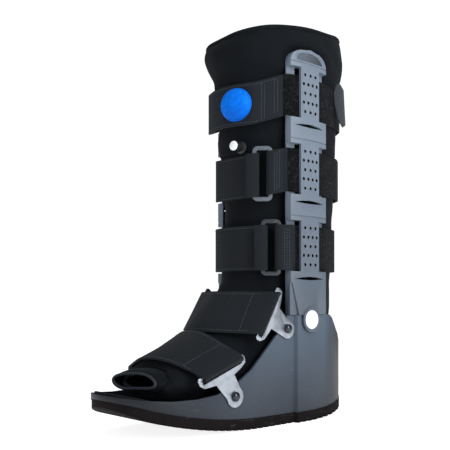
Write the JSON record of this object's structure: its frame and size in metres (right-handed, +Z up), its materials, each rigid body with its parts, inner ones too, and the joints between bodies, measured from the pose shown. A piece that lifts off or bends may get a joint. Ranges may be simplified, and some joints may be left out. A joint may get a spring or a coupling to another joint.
{
  "type": "medical walking boot",
  "caption": "Tall padded walking boot with a rocker sole, side uprights, a soft liner and five straps.",
  "frame": {"origin": "on the ground, under the middle of the boot's plan", "axes": "+Z up, toe towards -Y, heel towards +Y, +X is the side that carries the strap ends"},
  "size_m": [0.1286, 0.3225, 0.4367],
  "materials": {
    "shell_plastic": "satin",
    "upright_plastic": "satin",
    "sole_rubber": "matte",
    "insole_foam": "matte",
    "liner_cloth": "matte",
    "strap_cloth": "matte",
    "pile_cloth": "matte",
    "ring_plastic": "satin",
    "bulb_rubber": "satin",
    "bracket_steel": "bright",
    "rivet_steel": "bright",
    "valve_plastic": "matte",
    "white_plastic": "gloss"
  },
  "bodies": {
    "boot": {"outsole": "sole_rubber", "shell": "shell_plastic", "insole": "insole_foam", "upright_near": "upright_plastic", "upright_far": "upright_plastic", "badge_near": "white_plastic", "badge_far": "white_plastic", "liner_foot": "liner_cloth", "liner_leg": "liner_cloth", "toe_sleeve": "liner_cloth", "strap_top_pile": "pile_cloth", "strap_top_front": "strap_cloth", "pump_bulb": "bulb_rubber", "strap_top_tab": "pile_cloth", "strap_middle_back": "pile_cloth", "strap_middle_front": "strap_cloth", "ring_middle": "ring_plastic", "strap_lower_back": "pile_cloth", "strap_lower_front": "strap_cloth", "ring_lower": "ring_plastic", "strap_instep": "strap_cloth", "bracket_instep_near": "bracket_steel", "bracket_instep_far": "bracket_steel", "rivet_instep_near": "rivet_steel", "rivet_instep_far": "rivet_steel", "strap_forefoot": "strap_cloth", "bracket_forefoot_near": "bracket_steel", "bracket_forefoot_far": "bracket_steel", "rivet_forefoot_near": "rivet_steel", "rivet_forefoot_far": "rivet_steel", "valve_stem": "valve_plastic"},
    "valve": {"valve_collar": "valve_plastic", "valve_cap": "white_plastic"}
  },
  "joints": [
    {"name": "valve_turn", "type": "hinge", "parent": "boot", "child": "valve", "pos_m": [0.01556, -0.00126, 0.29524], "axis": [0.1736, -0.9848, 0], "range_deg": [0, 180]}
  ]
}
